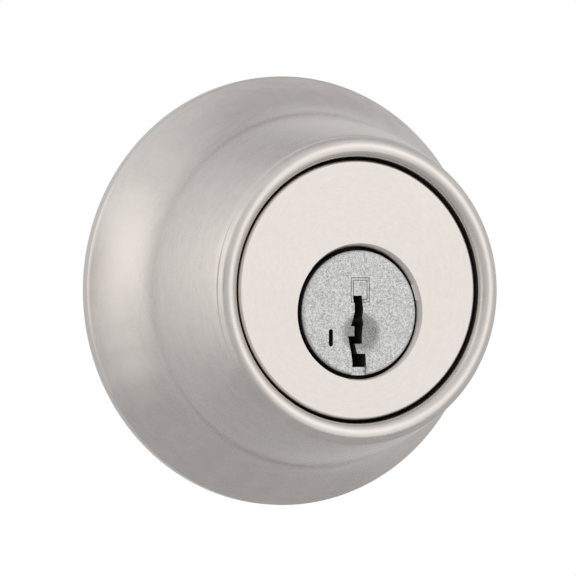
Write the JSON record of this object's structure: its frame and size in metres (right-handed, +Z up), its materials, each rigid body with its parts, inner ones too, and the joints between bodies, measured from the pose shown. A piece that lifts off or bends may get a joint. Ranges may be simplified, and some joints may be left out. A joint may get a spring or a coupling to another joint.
{
  "type": "deadbolt door lock, outside keyed half",
  "caption": "Round deadbolt lock, outside half: a free-spinning conical guard round a fixed core, a keyed plug with pins and racks, and a tail blade that turns the bolt.",
  "frame": {"origin": "centre of the cylinder in the plane of the door's face", "axes": "+Z up, -Y out of the door towards the key, +Y into the door, +X to the right seen from outside"},
  "size_m": [0.065, 0.0812, 0.065],
  "materials": {
    "satin_nickel": "satin nickel, brushed round its axis",
    "cast_zinc": "fine cast grain, bare",
    "plated_steel": "zinc plated",
    "hard_steel": "hardened, dark",
    "spring_steel": "drawn wire and spring strip",
    "brass": "turned",
    "liner_plastic": "moulded"
  },
  "bodies": {
    "core": {"cylinder_body": "satin_nickel", "anti_drill_pin_left": "hard_steel", "anti_drill_pin_right": "hard_steel", "mounting_stem_left": "plated_steel", "mounting_stem_right": "plated_steel", "adapter_ring": "plated_steel"},
    "guard": {"guard_shell": "satin_nickel", "guard_liner": "liner_plastic"},
    "plug": {"plug": "cast_zinc", "spring_cover": "plated_steel", "pin_spring_1": "spring_steel", "pin_spring_2": "spring_steel", "pin_spring_3": "spring_steel", "pin_spring_4": "spring_steel", "pin_spring_5": "spring_steel", "carriage_spring": "spring_steel", "sidebar_spring_front": "spring_steel", "sidebar_spring_rear": "spring_steel", "retaining_clip": "spring_steel", "drive_cup": "cast_zinc", "cup_roll_pin": "spring_steel", "blade_retainer": "plated_steel"},
    "blade": {"torque_blade": "plated_steel"},
    "carriage": {"rack_carriage": "plated_steel"},
    "sidebar": {"sidebar": "brass"},
    "pin_1": {"key_pin_1": "brass"},
    "pin_2": {"key_pin_2": "brass"},
    "pin_3": {"key_pin_3": "brass"},
    "pin_4": {"key_pin_4": "brass"},
    "pin_5": {"key_pin_5": "brass"},
    "rack_1": {"rack_1": "plated_steel"},
    "rack_2": {"rack_2": "plated_steel"},
    "rack_3": {"rack_3": "plated_steel"},
    "rack_4": {"rack_4": "plated_steel"},
    "rack_5": {"rack_5": "plated_steel"}
  },
  "joints": [
    {"name": "guard_spin", "type": "hinge", "parent": "core", "child": "guard", "pos_m": [0, -0.014, 0], "axis": [0, 1, 0], "continuous": true},
    {"name": "plug_turn", "type": "hinge", "parent": "core", "child": "plug", "pos_m": [0, -0.014, -0.00335], "axis": [0, 1, 0], "range_deg": [-90, 90]},
    {"name": "blade_lost_motion", "type": "hinge", "parent": "plug", "child": "blade", "pos_m": [0, 0.0098, -0.00335], "axis": [0, 1, 0], "range_deg": [0, 90]},
    {"name": "carriage_slide", "type": "slide", "parent": "plug", "child": "carriage", "axis": [0, 1, 0], "range_m": [0, 0.0019], "stiffness_N_per_m": 300, "springref_m": -0.0005, "deforming": ["carriage_spring"]},
    {"name": "sidebar_slide", "type": "slide", "parent": "plug", "child": "sidebar", "axis": [1, 0, 0], "range_m": [0, 0.0006], "stiffness_N_per_m": 300, "springref_m": -0.0004, "deforming": ["sidebar_spring_front", "sidebar_spring_rear"]},
    {"name": "pin_1_lift", "type": "slide", "parent": "plug", "child": "pin_1", "axis": [0, 0, 1], "range_m": [0, 0.0022], "stiffness_N_per_m": 100, "springref_m": -0.001, "deforming": ["pin_spring_1"]},
    {"name": "pin_2_lift", "type": "slide", "parent": "plug", "child": "pin_2", "axis": [0, 0, 1], "range_m": [0, 0.0022], "stiffness_N_per_m": 100, "springref_m": -0.001, "deforming": ["pin_spring_2"]},
    {"name": "pin_3_lift", "type": "slide", "parent": "plug", "child": "pin_3", "axis": [0, 0, 1], "range_m": [0, 0.0022], "stiffness_N_per_m": 100, "springref_m": -0.001, "deforming": ["pin_spring_3"]},
    {"name": "pin_4_lift", "type": "slide", "parent": "plug", "child": "pin_4", "axis": [0, 0, 1], "range_m": [0, 0.0022], "stiffness_N_per_m": 100, "springref_m": -0.001, "deforming": ["pin_spring_4"]},
    {"name": "pin_5_lift", "type": "slide", "parent": "plug", "child": "pin_5", "axis": [0, 0, 1], "range_m": [0, 0.0022], "stiffness_N_per_m": 100, "springref_m": -0.001, "deforming": ["pin_spring_5"]},
    {"name": "rack_1_lift", "type": "slide", "parent": "carriage", "child": "rack_1", "axis": [0, 0, 1], "range_m": [0, 0.0022]},
    {"name": "rack_2_lift", "type": "slide", "parent": "carriage", "child": "rack_2", "axis": [0, 0, 1], "range_m": [0, 0.0022]},
    {"name": "rack_3_lift", "type": "slide", "parent": "carriage", "child": "rack_3", "axis": [0, 0, 1], "range_m": [0, 0.0022]},
    {"name": "rack_4_lift", "type": "slide", "parent": "carriage", "child": "rack_4", "axis": [0, 0, 1], "range_m": [0, 0.0022]},
    {"name": "rack_5_lift", "type": "slide", "parent": "carriage", "child": "rack_5", "axis": [0, 0, 1], "range_m": [0, 0.0022]}
  ],
  "couplings": [
    {"joint": "rack_1_lift", "follows": "pin_1_lift", "ratio": 1},
    {"joint": "rack_2_lift", "follows": "pin_2_lift", "ratio": 1},
    {"joint": "rack_3_lift", "follows": "pin_3_lift", "ratio": 1},
    {"joint": "rack_4_lift", "follows": "pin_4_lift", "ratio": 1},
    {"joint": "rack_5_lift", "follows": "pin_5_lift", "ratio": 1}
  ]
}
